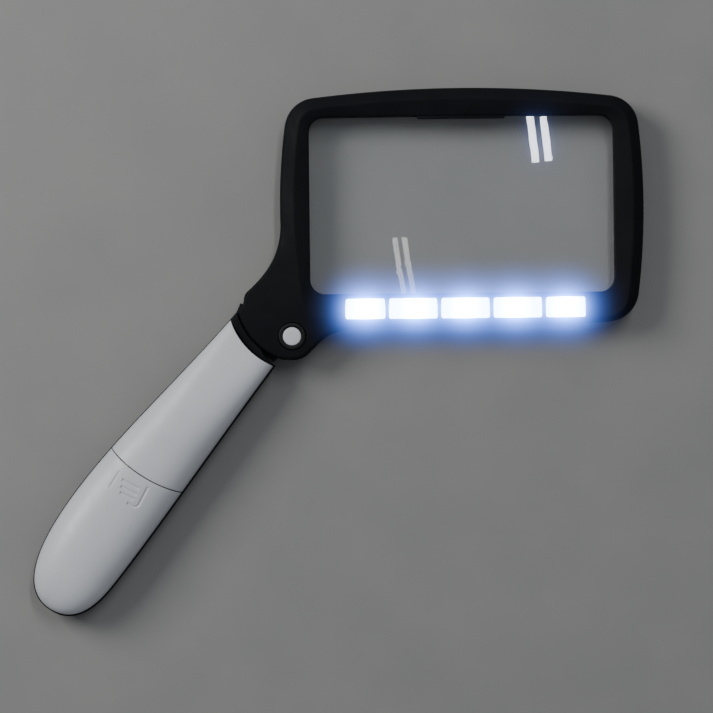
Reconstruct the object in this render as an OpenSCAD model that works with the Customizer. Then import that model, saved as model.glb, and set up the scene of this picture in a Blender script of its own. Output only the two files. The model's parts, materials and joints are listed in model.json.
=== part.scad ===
// Folding hand magnifier with a rectangular lens, a row of lights under the lens
// and a two-cell battery handle. It lies on its eye side with the lights facing up.

/* [Lens] */
// Width of the clear opening
opening_w = 99; // [96:0.5:100]
// Height of the clear opening
opening_h = 57.7; // [55:0.1:58.5]
// Corner radius of the clear opening
opening_r = 5; // [4:0.5:8]
// How far the lens runs on under the frame's lip
lens_hidden = 2; // [1.5:0.1:2.2]
// Radius of each curved face of the lens
lens_face_r = 380; // [370:10:600]
// Thickness of the lens at its centre
lens_t = 10; // [9:0.1:10]

/* [Frame] */
// Distance from the lens centre to the frame's left edge
frame_left = 59.1; // [59:0.1:60]
// Distance from the lens centre to the frame's right edge
frame_right = 59.2; // [59:0.1:60]
// Distance from the lens centre to the frame's top edge
frame_top = 38; // [37.5:0.1:39]
// Distance from the lens centre to the frame's bottom edge
frame_bottom = 40.2; // [40:0.1:41]
// Radius of the frame's outer corners
frame_corner_r = 10.3; // [9:0.1:11]
// Thickness of the frame
frame_t = 13.2; // [13:0.1:14]
// Depth of the bezel from its ridge to the lip round the lens
bezel_drop = 1.2; // [0.8:0.1:1.4]

/* [Lights] */
// Distance from one light window to the next
window_pitch = 16.95; // [16.8:0.05:17]
// Width of each of the three middle windows
window_w = 15.5; // [15:0.1:15.6]
// Width of the two end windows
end_window_w = 12.65; // [12:0.05:13]
// Height of the windows
window_h = 6.5; // [6:0.1:6.6]
// Distance of the window row below the lens centre
window_row = 33.7; // [33.6:0.1:33.8]
// Sideways offset of the window row from the lens centre
window_shift = 0.8; // [0:0.1:1]

/* [Hinge] */
// Distance of the pivot to the left of the lens centre
pivot_left = 55.5; // [55.3:0.1:55.7]
// Distance of the pivot below the lens centre
pivot_down = 42.4; // [42.3:0.1:42.6]
// Direction of the handle from the pivot when the magnifier is open
handle_angle = 230; // [229:0.5:231]
// Thickness of each hub plate
plate_t = 3.1; // [3:0.1:3.2]
// Thickness of each washer between the hub plates and the tongue
washer_t = 0.46; // [0.4:0.02:0.48]
// Radius of the hollow pivot pin
pin_r = 3; // [2.8:0.1:3.1]
// Radius of the bore for the wires through the pin
pin_bore_r = 1.6; // [1.4:0.1:1.7]
// Radius of the round cap over the pivot
cap_r = 2.95; // [2.8:0.05:3.2]

/* [Handle] */
// Thickness of the handle over the batteries
handle_t = 18.5; // [18.3:0.1:19]
// Height of the joint between the dark lower shell and the pale upper shell
shell_split = 8.5; // [8.2:0.1:8.8]
// Wall thickness of the handle shells
wall = 1.6; // [1.5:0.1:1.7]
// Distance from the pivot to the seam of the battery cover
seam_at = 65.3; // [64:0.1:67]
// Gap left at the seam of the battery cover
seam_gap = 0.3; // [0.2:0.05:0.4]

/* [Batteries] */
// Radius of one AAA cell
cell_r = 5.1; // [5:0.05:5.15]
// Length of one AAA cell with its nub
cell_len = 44.2; // [43.5:0.1:44.2]
// Distance from the pivot to the near end of the cells
cell_start = 55.8; // [55.5:0.1:55.8]
// Sideways place of the line between the two cells
cell_mid = -8; // [-8.1:0.1:-7.9]

/* [Hidden] */

$fn = 64;
eps = 0.01;

// Plain colours of the pieces
dark = [0.07, 0.07, 0.08];
pale = [0.86, 0.87, 0.9];
clear = [0.8, 0.9, 0.95, 0.4];
lit = [0.95, 0.97, 1];
steel = [0.7, 0.7, 0.72];
board_green = [0.1, 0.35, 0.2];

// Frame: the bow radius of each edge, and where the ridge of the bezel runs
bow_left = 190;
bow_right = 227;
bow_top = 408;
bow_bottom = 700;
ridge_inset = [4.6, 3.7, 3.9, 2];
split_z = frame_t / 2;
lip_z = frame_t - bezel_drop;
lens_w = opening_w + 2 * lens_hidden;
lens_h = opening_h + 2 * lens_hidden;
lens_r = opening_r + lens_hidden;
lens_gap = 0.15;
frame_wall = 2;

// Hinge: the plates of the hub lie under and over the handle's tongue
pivot = [-pivot_left, -pivot_down];
plate_low = plate_t;
plate_high = frame_t - plate_t;
tongue_low = plate_low + 0.5;
tongue_high = plate_high - 0.5;
tongue_r = 7.2;
slot_r = 7.7;
hub_r = 7.5;
washer_r = 6.6;
fit_gap = 0.05;
// Centre of the arcs at the neck, seen from the pivot along and across the handle
neck_centre = [-12.5, -5.65];
hub_edge_r = 21.8;
collar_r = 22.1;
neck_r = 24.8;
collar_round_r = 11;
collar_top = 12.7;
flange_r = 4.6;
flange_top = 1.05;
nut_r = 4.4;
nut_low = 11.3;
nut_top = 12.9;

// Handle: four curves run round it, given along and across the handle from the pivot
curve_steps = 10;
left_side = [[2, -19], [30, -19.6], [52, -22.8], [74, -22.8]];
left_end = [[74, -22.8], [100, -22.8], [118.6, -18.5], [118.6, -6.2]];
right_end = [[118.6, -6.2], [118.6, 3], [112, 6.9], [100, 6.75]];
right_side = [[100, 6.75], [78, 6.5], [40, 3], [2, 1.4]];
handle_mid = -8.7;
seam_r = 47.5;

// Screws enter from the underside; their heads sit in round sinks
screw_r = 1;
screw_head_r = 1.6;
screw_head_t = 1.1;
screw_sink = 2.2;

// Points along a cubic curve, each moved inward by inset
function curve_at(c, t) = pow(1 - t, 3) * c[0] + 3 * pow(1 - t, 2) * t * c[1]
    + 3 * (1 - t) * t * t * c[2] + pow(t, 3) * c[3];
function curve_way(c, t) = 3 * pow(1 - t, 2) * (c[1] - c[0])
    + 6 * (1 - t) * t * (c[2] - c[1]) + 3 * t * t * (c[3] - c[2]);
function left_of(v) = [-v.y, v.x] / norm(v);
function curve_points(c, inset) = [
    for (i = [0 : curve_steps - 1])
        let (t = i / curve_steps)
        curve_at(c, t) + inset * left_of(curve_way(c, t))
];
function handle_points(inset) = concat(
    curve_points(left_side, inset), curve_points(left_end, inset),
    curve_points(right_end, inset), curve_points(right_side, inset),
    [right_side[3] + inset * left_of(curve_way(right_side, 1))]
);
function turned(p, a) = [p.x * cos(a) - p.y * sin(a), p.x * sin(a) + p.y * cos(a)];

// Outline of four bowed edges with round corners. edges is [left, right, top, bottom]
function circle_cross(a, ra, b, rb, side) =
    let (
        d = norm(b - a),
        along = (d * d + ra * ra - rb * rb) / (2 * d),
        off = sqrt(ra * ra - along * along),
        way = (b - a) / d
    )
    a + along * way + side * off * [-way.y, way.x];
function angle_of(v) = atan2(v.y, v.x);
function arc_points(centre, r, from, to, steps) = [
    for (i = [0 : steps - 1])
        let (turn = to - from, span = turn > 180 ? turn - 360 : turn < -180 ? turn + 360 : turn)
        centre + r * [cos(from + span * i / steps), sin(from + span * i / steps)]
];
function bowed_outline(edges, bows, r) =
    let (
        right = [edges[1] - bows[1], 0],
        top = [0, edges[2] - bows[2]],
        left = [bows[0] - edges[0], 0],
        bottom = [0, bows[3] - edges[3]],
        tr = circle_cross(right, bows[1] - r, top, bows[2] - r, 1),
        tl = circle_cross(top, bows[2] - r, left, bows[0] - r, 1),
        bl = circle_cross(left, bows[0] - r, bottom, bows[3] - r, 1),
        br = circle_cross(bottom, bows[3] - r, right, bows[1] - r, 1)
    )
    concat(
        arc_points(right, bows[1], angle_of(br - right), angle_of(tr - right), 10),
        arc_points(tr, r, angle_of(tr - right), angle_of(tr - top), 8),
        arc_points(top, bows[2], angle_of(tr - top), angle_of(tl - top), 12),
        arc_points(tl, r, angle_of(tl - top), angle_of(tl - left), 8),
        arc_points(left, bows[0], angle_of(tl - left), angle_of(bl - left), 10),
        arc_points(bl, r, angle_of(bl - left), angle_of(bl - bottom), 8),
        arc_points(bottom, bows[3], angle_of(bl - bottom), angle_of(br - bottom), 12),
        arc_points(br, r, angle_of(br - bottom), angle_of(br - right), 8)
    );
frame_edges = [frame_left, frame_right, frame_top, frame_bottom];
frame_bows = [bow_left, bow_right, bow_top, bow_bottom];
function frame_points(inset) = bowed_outline(
    frame_edges - [inset, inset, inset, inset],
    frame_bows - [inset, inset, inset, inset],
    frame_corner_r - inset
);
ridge_points = bowed_outline(frame_edges - ridge_inset, frame_bows - ridge_inset, 6.6);

// The whole object is moved so that the middle of its underside is the origin
handle_world = [for (p = handle_points(0)) pivot + turned(p, handle_angle)];
low_x = min([for (p = handle_world) p.x]);
low_y = min([for (p = handle_world) p.y]);
middle = [(low_x + frame_right) / 2, (low_y + frame_top) / 2];

module place() {
    translate([-middle.x, -middle.y, 0]) children();
}

// Children given along (X) and across (Y) the handle from the pivot
module along_handle() {
    place() translate([pivot.x, pivot.y, 0]) rotate([0, 0, handle_angle]) children();
}

module slab(points, low, high) {
    translate([0, 0, low]) linear_extrude(high - low) polygon(points);
}

module sheet(points, z) {
    slab(points, z, z + eps);
}

module rounded_rect(w, h, r) {
    square([w - 2 * r, h], center = true);
    square([w, h - 2 * r], center = true);
    for (x = [-1, 1], y = [-1, 1]) {
        translate([x * (w / 2 - r), y * (h / 2 - r)]) circle(r);
    }
}

// Biconvex lens form, grown on every side by gap
module lens_form(gap) {
    intersection() {
        translate([0, 0, split_z + lens_t / 2 + gap - lens_face_r]) sphere(lens_face_r, $fn = 360);
        translate([0, 0, split_z - lens_t / 2 - gap + lens_face_r]) sphere(lens_face_r, $fn = 360);
        linear_extrude(frame_t) rounded_rect(lens_w + 2 * gap, lens_h + 2 * gap, lens_r + gap);
    }
}

// Windows of the light bar: left end and width of window i, from 0 to 4
function window_left(i) = i == 0
    ? window_shift - 1.5 * window_pitch - (window_pitch - window_w) / 2 - end_window_w
    : window_shift + (i - 2) * window_pitch - window_w / 2;
function window_width(i) = (i == 0 || i == 4) ? end_window_w : window_w;
window_mids = [for (i = [0 : 4]) window_left(i) + window_width(i) / 2];

// ---- Head ----

// Left flare of the frame into the hub, and the fillet from the hub to the bottom edge
flare_curve = [[-59.05, -6], [-59.2, -17], [-64, -22.5], [-70.5, -28.3]];
flare_corner = [[-70.9, -29.4], [-70.9, -31.6], [-73, -34]];
fillet_curve = [[-49.5, -47], [-46.4, -44.6], [-45.6, -40.2], [-31, -39.3]];
hub_centre = pivot + turned(neck_centre, handle_angle);
hub_arc_from = 192.8;
hub_arc_to = 250.7;

// Faces of the tongue that stop the head when it is fully open and fully folded
fold_max = 122;
stop_gap = 0.25;
tongue_back = [-6.36, -3.38];
tongue_corner = [2.4, -19.9];
tongue_side = 1.6;

// Places of the frame screws, from the lens centre
head_screw_places = [[-51, 30.3], [51, 30.3], [50.9, -31.2], [-62.5, -25.5]];
boss_r = 2.1;
cavity_low = 1.8;
cavity_high = 9.6;
light_top = 11.2;
light_low_y = -37.4;
light_high_y = -32.25;
light_left = -40.4;
light_right = 41.6;
light_rests = [-30, -10, 10, 30];
wire_r = 0.5;
wire_z = 10.7;
wire_angle = 25.5;

module hub_plan() {
    polygon(concat(curve_points(flare_curve, 0), flare_corner, [[-60, -40], [-50, -38], [-50, -6]]));
    polygon(concat(
        arc_points(hub_centre, hub_edge_r, hub_arc_from, hub_arc_to, 14),
        [hub_centre + hub_edge_r * [cos(hub_arc_to), sin(hub_arc_to)], pivot + [0, -hub_r]],
        [pivot, [-50, -34], [-62, -30]]
    ));
    translate(pivot) circle(hub_r);
    polygon(concat(curve_points(fillet_curve, 0), [fillet_curve[3], [-31, -36], [-52, -34], pivot]));
}

// Space between the hub plates that the tongue fills and sweeps through, seen from the pivot
module slot_plan() {
    back = tongue_corner - tongue_back;
    away = stop_gap * left_of(-back);
    fold_way = [cos(fold_max), sin(fold_max)];
    fold_side = (tongue_side + stop_gap + 0.1) * left_of(fold_way);
    circle(slot_r);
    polygon([
        tongue_back + away, tongue_corner + away + 6 * back / norm(back),
        [45, -28], [45, 34], fold_side + 30 * fold_way, fold_side
    ]);
}

// Round hollow of the frame between its outer wall and the wall round the lens
module cavity_plan() {
    difference() {
        polygon(frame_points(frame_wall));
        rounded_rect(lens_w + 2.8, lens_h + 2.8, lens_r + 1.4);
        translate(pivot) circle(slot_r + 1.6);
    }
}

module light_bay(low, high) {
    translate([light_left, light_low_y, low])
        cube([light_right - light_left, light_high_y - light_low_y, high - low]);
}

// One light window, from its underside to the slope of the bezel
module window_block(i, gap) {
    near = -window_row + window_h / 2 + gap;
    far = -window_row - window_h / 2 - gap;
    ridge_y = -(frame_bottom - ridge_inset[3]);
    rise = bezel_drop / (-opening_h / 2 - ridge_y);
    near_top = lip_z + rise * (-opening_h / 2 - near) + (gap > 0 ? 1 : -0.1);
    far_top = lip_z + rise * (-opening_h / 2 - far) + (gap > 0 ? 1 : -0.1);
    translate([window_left(i) - gap, 0, 0]) rotate([90, 0, 90])
        linear_extrude(window_width(i) + 2 * gap)
        polygon([[far, light_top - 0.3], [near, light_top - 0.3], [near, near_top], [far, far_top]]);
}

module frame_opening() {
    linear_extrude(frame_t + 2, center = true) rounded_rect(opening_w, opening_h, opening_r);
}

module hub_hole(r, low, high) {
    translate([pivot.x, pivot.y, low]) cylinder(r = r, h = high - low);
}

module head_slot() {
    translate([pivot.x, pivot.y, plate_low]) rotate([0, 0, handle_angle])
        linear_extrude(plate_high - plate_low) slot_plan();
}

module wire_channel() {
    translate([pivot.x, pivot.y, plate_high]) rotate([0, 0, wire_angle])
        translate([0, -1, -0.7]) cube([18, 2, 1.9]);
}

module screw_bosses(low, high) {
    for (p = head_screw_places) {
        translate([p.x, p.y, low]) cylinder(r = boss_r, h = high - low);
    }
}

// Lip tab at the top of the opening that holds the lens in
clip_w = 28.5;
clip_reach = 1.1;
clip_low = 10.6;
clip_high = 11.5;

module clip_block(gap) {
    top = lens_h / 2 + 0.5;
    low = opening_h / 2 - clip_reach;
    translate([-clip_w / 2 - gap, low - gap, clip_low - gap])
        cube([clip_w + 2 * gap, top - low + 2 * gap, clip_high - clip_low + 2 * gap]);
}

module head_front_shell() {
    color(dark) place() difference() {
        union() {
            difference() {
                union() {
                    hull() {
                        sheet(frame_points(0), split_z);
                        sheet(frame_points(0.3), 9.4);
                        sheet(frame_points(1), 11.6);
                        sheet(ridge_points, frame_t - eps);
                    }
                    translate([0, 0, split_z]) linear_extrude(frame_t - 0.4 - split_z) hub_plan();
                }
                translate([0, 0, split_z - eps]) linear_extrude(cavity_high - split_z) cavity_plan();
                light_bay(split_z - eps, light_top);
            }
            screw_bosses(split_z, cavity_high + eps);
        }
        hull() {
            translate([0, 0, lip_z]) linear_extrude(eps) rounded_rect(opening_w, opening_h, opening_r);
            sheet(ridge_points, frame_t);
        }
        frame_opening();
        lens_form(lens_gap);
        clip_block(0.06);
        for (i = [0 : 4]) {
            window_block(i, 0.1);
        }
        head_slot();
        wire_channel();
        hub_hole(pin_r + fit_gap, plate_high - 1, frame_t);
        hub_hole(nut_r + 0.2, nut_low - fit_gap, frame_t);
        for (p = head_screw_places) {
            translate([p.x, p.y, split_z - 1]) cylinder(r = screw_r - 0.15, h = 4.2);
        }
    }
}

module head_rear_shell() {
    color(dark) place() difference() {
        union() {
            difference() {
                union() {
                    hull() {
                        sheet(frame_points(0), split_z - 0.05);
                        sheet(frame_points(0.4), 3);
                        sheet(frame_points(1.5), 0);
                    }
                    linear_extrude(split_z - 0.05) hub_plan();
                }
                translate([0, 0, cavity_low]) linear_extrude(split_z) cavity_plan();
                light_bay(cavity_low, split_z);
            }
            screw_bosses(1, split_z - 0.05);
            for (x = light_rests) {
                translate([x, light_low_y + 0.2, 1]) cube([1.6, light_high_y - light_low_y - 0.4, 2.15]);
            }
        }
        hull() {
            translate([0, 0, bezel_drop]) linear_extrude(eps)
                rounded_rect(opening_w, opening_h, opening_r);
            translate([0, 0, -eps]) linear_extrude(eps)
                rounded_rect(opening_w + 8, opening_h + 8, opening_r + 4);
        }
        frame_opening();
        lens_form(lens_gap);
        head_slot();
        hub_hole(pin_r + fit_gap, -1, plate_low + 1);
        hub_hole(flange_r + 0.2, -1, flange_top + fit_gap);
        for (p = head_screw_places) {
            translate([p.x, p.y, -1]) cylinder(r = screw_r + 0.2, h = frame_t);
            translate([p.x, p.y, -1]) cylinder(r = screw_head_r + 0.15, h = screw_sink + 1);
        }
    }
}

module lens() {
    color(clear) place() lens_form(0);
}

module lens_clip() {
    color(dark) place() clip_block(0);
}

module light_diffuser() {
    color(lit) place() union() {
        for (i = [0 : 4]) {
            window_block(i, 0);
        }
        translate([light_left + 0.2, light_low_y + 0.15, light_top - 1.3])
            cube([light_right - light_left - 0.4, light_high_y - light_low_y - 0.3, 1.2]);
    }
}

led_mid_y = (light_low_y + light_high_y) / 2;
board_low = 3.2;
board_t = 1;

module led_board() {
    color(board_green) place() translate([light_left + 0.4, light_low_y + 0.2, board_low])
        cube([light_right - light_left - 0.8, light_high_y - light_low_y - 0.4, board_t]);
}

module leds() {
    color(lit) place() for (x = window_mids) {
        translate([x - 1.75, led_mid_y - 1.4, board_low + board_t]) cube([3.5, 2.8, 1.9]);
    }
}

module led_resistors() {
    color(steel) place() for (x = window_mids) {
        translate([x + 3.5, led_mid_y - 0.6, board_low + board_t]) cube([2, 1.2, 0.6]);
    }
}

// Self-tapping screw with a round head, its head underside at z 0, pointing up
module screw(r, head_r, length) {
    cylinder(r = r, h = length);
    translate([0, 0, -screw_head_t]) difference() {
        cylinder(r = head_r, h = screw_head_t);
        translate([0, 0, -eps]) linear_extrude(0.6) square([2.2, 0.45], center = true);
        translate([0, 0, -eps]) linear_extrude(0.6) square([0.45, 2.2], center = true);
    }
}

module head_screws() {
    color(steel) place() for (p = head_screw_places) {
        translate([p.x, p.y, screw_sink]) screw(screw_r - 0.2, screw_head_r, 7);
    }
}

// Round tube of 8 sides swept along a cubic curve of points in space
tube_sides = 8;
tube_rings = 18;
function cross_unit(a, b) = cross(a, b) / norm(cross(a, b));
function tube_ring(c, r, t) =
    let (
        way = curve_way(c, min(max(t, 0.001), 0.999)),
        side = cross_unit(way, [0.31, 0.95, 0.05]),
        up = cross_unit(side, way)
    )
    [for (k = [0 : tube_sides - 1])
        curve_at(c, t) + r * (cos(360 * k / tube_sides) * side + sin(360 * k / tube_sides) * up)];

module tube(c, r) {
    points = [for (i = [0 : tube_rings]) each tube_ring(c, r, i / tube_rings)];
    walls = [
        for (i = [0 : tube_rings - 1], k = [0 : tube_sides - 1])
            let (a = i * tube_sides + k, b = i * tube_sides + (k + 1) % tube_sides)
            [a, a + tube_sides, b + tube_sides, b]
    ];
    first = [for (k = [0 : tube_sides - 1]) k];
    last = [for (k = [tube_sides - 1 : -1 : 0]) tube_rings * tube_sides + k];
    polyhedron(points, concat([first], walls, [last]));
}

head_wire_curve = [[0, 0, wire_z], [22, 0, 10.9], [19, 0, 7], [20.5, 0, board_low + board_t + wire_r + 0.05]];

module head_wires() {
    color("firebrick") place() translate([pivot.x, pivot.y, 0]) rotate([0, 0, wire_angle])
        tube(head_wire_curve, wire_r);
}

// ---- Hinge ----

pin_low = 0.25;
window_low = 6.1;
window_high = 8.7;
pin_top = 12;
handle_wire_way = -27;

// Hollow pin: fixed in the tongue, its wires enter at the side and leave near its top
module pivot_pin() {
    color(steel) along_handle() difference() {
        union() {
            translate([0, 0, pin_low]) cylinder(r = flange_r, h = flange_top - pin_low);
            translate([0, 0, pin_low]) cylinder(r = pin_r, h = pin_top - pin_low);
        }
        translate([0, 0, -1]) cylinder(r = pin_bore_r, h = frame_t + 2);
        rotate([0, 0, handle_wire_way]) translate([0, -0.9, window_low])
            cube([6, 1.8, window_high - window_low]);
        translate([-5, 0, plate_high - 0.1]) cube([10, 6, 1.3]);
    }
}

// Round nut on the pin's top that keeps the upper hub plate on
module pivot_ring() {
    color(dark) along_handle() translate([0, 0, nut_low]) difference() {
        cylinder(r = nut_r, h = nut_top - nut_low);
        translate([0, 0, -1]) cylinder(r = pin_r + 0.02, h = frame_t);
    }
}

// Pale round cap that closes the nut
module pivot_cap() {
    color(pale) along_handle() translate([0, 0, pin_top + 0.05]) rotate_extrude()
        polygon([[0, 0], [cap_r, 0], [cap_r, 0.85], [cap_r - 0.3, 1.1], [0, 1.2]]);
}

module washer(z) {
    along_handle() translate([0, 0, z]) difference() {
        cylinder(r = washer_r, h = washer_t);
        translate([0, 0, -1]) cylinder(r = pin_r + 0.1, h = 3);
    }
}

module friction_washer() {
    color("ivory") washer(plate_low + 0.02);
}

module wave_washer() {
    color(steel) washer(tongue_high + 0.02);
}

// ---- Handle ----

seam_centre = [seam_at - 47.2, -14.4];
latch_w = 5.2;
latch_low = handle_t - wall - 1.4;
handle_screw_places = [[20, -4.2], [20, -14], [49, -8.7]];
handle_screw_len = 9.4;
post_r = 2.6;
driver_rest_u = [25, 41];
driver_rest_v = [-16, -5];
switch_at = 35.5;
switch_travel = 4;
knob_len = 6;
knob_w = 3.8;

function from_u(points, start) = [for (p = points) if (p.x >= start) p];

// Outer form of the handle: flat underside, widest at the split, domed top that is low
// at the neck and full height over the batteries
module handle_form(inset) {
    hull() {
        sheet(handle_points(inset + 4.4), inset);
        sheet(handle_points(inset + 2.2), inset + 1);
        sheet(handle_points(inset + 0.8), inset + 3);
        sheet(handle_points(inset), shell_split);
        sheet(handle_points(inset + 0.4), 11 - inset / 2);
        sheet(handle_points(inset + 3), frame_t + 0.1 - inset);
        sheet(from_u(handle_points(inset + 1.7), 38), 13.6 - inset);
        sheet(from_u(handle_points(inset + 4), 42), 16 - inset);
        sheet(from_u(handle_points(inset + 6.8), 46), 17.7 - inset);
        sheet(from_u(handle_points(inset + 9.4), 50), handle_t - inset - eps);
    }
}

module below(z) {
    translate([-20, -60, z - 60]) cube([160, 120, 60]);
}

module above(z) {
    translate([-20, -60, z]) cube([160, 120, 60]);
}

module neck_cylinder(r) {
    translate([neck_centre.x, neck_centre.y, -1]) cylinder(r = r, h = 30, $fn = 128);
}

module seam_cylinder(r) {
    translate([seam_centre.x, seam_centre.y, -1]) cylinder(r = r, h = 30, $fn = 180);
}

module handle_cavity() {
    difference() {
        handle_form(wall);
        neck_cylinder(neck_r + wall);
    }
}

module tongue() {
    translate([0, 0, tongue_low]) linear_extrude(tongue_high - tongue_low) {
        circle(tongue_r);
        polygon([tongue_back, tongue_corner, [8.3, -19.1], [13, -17], [14, 0.8], [0, tongue_side], [0, 0]]);
    }
}

module handle_posts(low, high) {
    for (p = handle_screw_places) {
        translate([p.x, p.y, low]) cylinder(r = post_r, h = high - low);
    }
}

module switch_slot() {
    translate([switch_at - 3.3, handle_mid - knob_w / 2 - 0.25, -1])
        cube([knob_len + switch_travel + 0.6, knob_w + 0.5, 5]);
    translate([switch_at - 6, handle_mid - 4.2, -1]) cube([knob_len + switch_travel + 6, 8.4, 1.9]);
}

module handle_lower_shell() {
    color(dark) along_handle() difference() {
        union() {
            difference() {
                handle_form(0);
                above(collar_top);
                handle_cavity();
                neck_cylinder(collar_r);
                translate([0, 0, -1]) cylinder(r = collar_round_r, h = 30);
            }
            handle_posts(1, shell_split - 0.05);
            for (u = driver_rest_u, v = driver_rest_v) {
                translate([u, v, 1]) cube([1.2, 3, driver_low - 1.1]);
            }
            tongue();
        }
        difference() {
            above(shell_split);
            neck_cylinder(neck_r - 0.15);
        }
        translate([0, 0, -1]) cylinder(r = pin_r + 0.02, h = 30);
        rotate([0, 0, handle_wire_way]) translate([0, -1.1, window_low])
            cube([26, 2.2, tongue_high + eps - window_low]);
        switch_slot();
        for (p = handle_screw_places) {
            translate([p.x, p.y, -1]) cylinder(r = screw_r + 0.2, h = 20);
            translate([p.x, p.y, -1]) cylinder(r = screw_head_r + 0.15, h = screw_sink + 1);
        }
    }
}

module handle_upper_shell() {
    color(pale) along_handle() difference() {
        union() {
            difference() {
                handle_form(0);
                handle_cavity();
            }
            intersection() {
                handle_posts(shell_split - 1, 16);
                handle_form(0.8);
            }
        }
        below(shell_split + 0.02);
        neck_cylinder(neck_r);
        difference() {
            translate([0, -40, 0]) cube([140, 80, 30]);
            seam_cylinder(seam_r);
        }
        for (p = handle_screw_places) {
            translate([p.x, p.y, 0]) cylinder(r = screw_r - 0.15, h = 12.1);
        }
    }
}

module battery_cover() {
    color(pale) along_handle() union() {
        difference() {
            handle_form(0);
            handle_cavity();
            below(shell_split + 0.05);
            seam_cylinder(seam_r + seam_gap);
        }
        translate([seam_at - 4.3, handle_mid - latch_w / 2, latch_low]) cube([8, latch_w, 1]);
        translate([seam_at + 1.5, handle_mid - latch_w / 2, latch_low]) cube([2.2, latch_w, 2]);
    }
}

// ---- Batteries and electrics ----

cell_z = 7.6;
cell_gap = 0.2;
tray_from = 51.8;
tray_to = 103.8;
near_plate = 52.4;
far_plate = 102.8;
plate_thick = 0.5;
plate_half = 3;
cell_end = cell_start + cell_len;

// Sideways place of each cell: the first has its nub towards the neck, the second away
function cell_v(side) = cell_mid + side * (cell_r + cell_gap);

module battery_tray() {
    color(dark) along_handle() difference() {
        intersection() {
            handle_form(wall + 0.15);
            translate([tray_from, -30, 0]) cube([tray_to - tray_from, 60, shell_split - 0.2]);
        }
        for (side = [-1, 1]) {
            translate([near_plate - 0.1, cell_v(side), cell_z]) rotate([0, 90, 0])
                cylinder(r = cell_r + 0.15, h = far_plate + plate_thick + 0.2 - near_plate);
        }
        translate([far_plate - 0.1, cell_v(-1), cell_z - plate_half - 0.7])
            cube([plate_thick + 0.2, cell_v(1) - cell_v(-1), 10]);
    }
}

module cell() {
    cylinder(r = cell_r, h = cell_len - 1);
    cylinder(r = 1.9, h = cell_len);
}

module batteries() {
    color("steelblue") along_handle() {
        translate([cell_end, cell_v(-1), cell_z]) rotate([0, -90, 0]) cell();
        translate([cell_start, cell_v(1), cell_z]) rotate([0, 90, 0]) cell();
    }
}

// Conical contact spring, standing up from z 0
spring_turns = 3;
spring_wire = 0.3;
spring_sides = 6;
spring_rings = 30;
function spring_point(t, length) =
    let (r = 3.4 - 1.4 * t, a = 360 * spring_turns * t)
    [r * cos(a), r * sin(a), spring_wire + (length - 2 * spring_wire) * t];
function spring_ring(t, length) =
    let (a = 360 * spring_turns * t, out = [cos(a), sin(a), 0])
    [for (k = [0 : spring_sides - 1])
        spring_point(t, length) + spring_wire * (cos(360 * k / spring_sides) * out
            + [0, 0, sin(360 * k / spring_sides)])];

module spring(length) {
    points = [for (i = [0 : spring_rings]) each spring_ring(i / spring_rings, length)];
    walls = [
        for (i = [0 : spring_rings - 1], k = [0 : spring_sides - 1])
            let (a = i * spring_sides + k, b = i * spring_sides + (k + 1) % spring_sides)
            [a, b, b + spring_sides, a + spring_sides]
    ];
    first = [for (k = [spring_sides - 1 : -1 : 0]) k];
    last = [for (k = [0 : spring_sides - 1]) spring_rings * spring_sides + k];
    polyhedron(points, concat([first], walls, [last]));
}

module contact_springs() {
    color(steel) along_handle() {
        translate([near_plate + plate_thick + 0.05, cell_v(1), cell_z]) rotate([0, 90, 0])
            spring(cell_start - near_plate - plate_thick - 0.1);
        translate([far_plate - 0.05, cell_v(-1), cell_z]) rotate([0, -90, 0])
            spring(far_plate - cell_end - 0.1);
    }
}

module contact_plate(at, from, to) {
    translate([at, from - plate_half, cell_z - plate_half])
        cube([plate_thick, to - from + 2 * plate_half, 2 * plate_half]);
}

// One plate joins both cells at the far end, with a raised button under the nub
module end_contact() {
    color(steel) along_handle() {
        contact_plate(far_plate, cell_v(-1), cell_v(1));
        translate([cell_end + 0.05, cell_v(1), cell_z]) rotate([0, 90, 0])
            cylinder(r = 2.4, h = far_plate - cell_end);
    }
}

module battery_terminals() {
    color(steel) along_handle() {
        contact_plate(near_plate, cell_v(1), cell_v(1));
        contact_plate(near_plate, cell_v(-1), cell_v(-1));
        translate([near_plate, cell_v(-1), cell_z]) rotate([0, 90, 0])
            cylinder(r = 2.4, h = cell_start - near_plate - 0.05);
    }
}

driver_from = 23;
driver_to = 45.6;
driver_low = 6.2;
driver_t = 1;
driver_top = driver_low + driver_t;

module driver_board() {
    color(board_green) along_handle() translate([driver_from, -15.5, driver_low])
        cube([driver_to - driver_from, 13.2, driver_t]);
}

module driver_coil() {
    color(dark) along_handle() translate([31, -12, driver_top]) difference() {
        cylinder(r = 3, h = 3);
        translate([0, 0, 0.6]) difference() {
            cylinder(r = 4, h = 1.8);
            translate([0, 0, -1]) cylinder(r = 2.2, h = 4);
        }
    }
}

module driver_chip() {
    color(dark) along_handle() translate([35, -7, driver_top]) {
        cube([5, 4, 1.4]);
        for (i = [0 : 3]) {
            translate([0.4 + 1.27 * i, -0.7, 0]) cube([0.4, 5.4, 0.5]);
        }
    }
}

module switch_body() {
    color(steel) along_handle()
        translate([switch_at - 2, handle_mid - 2.2, 3.1]) cube([12.6, 4.4, driver_low - 3.1]);
}

// Sliding knob in its recess in the underside, with a ribbed face
module switch_slider() {
    color(dark) along_handle() translate([switch_at - 3, handle_mid - knob_w / 2, 0]) difference() {
        translate([0, 0, 0.3]) cube([knob_len, knob_w, 2.7]);
        for (i = [0 : 4]) {
            translate([0.8 + i * 1, -1, 0]) cube([0.4, knob_w + 2, 0.6]);
        }
    }
}

module handle_screws() {
    color(steel) along_handle() for (p = handle_screw_places) {
        translate([p.x, p.y, screw_sink]) screw(screw_r - 0.2, screw_head_r, handle_screw_len);
    }
}

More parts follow.
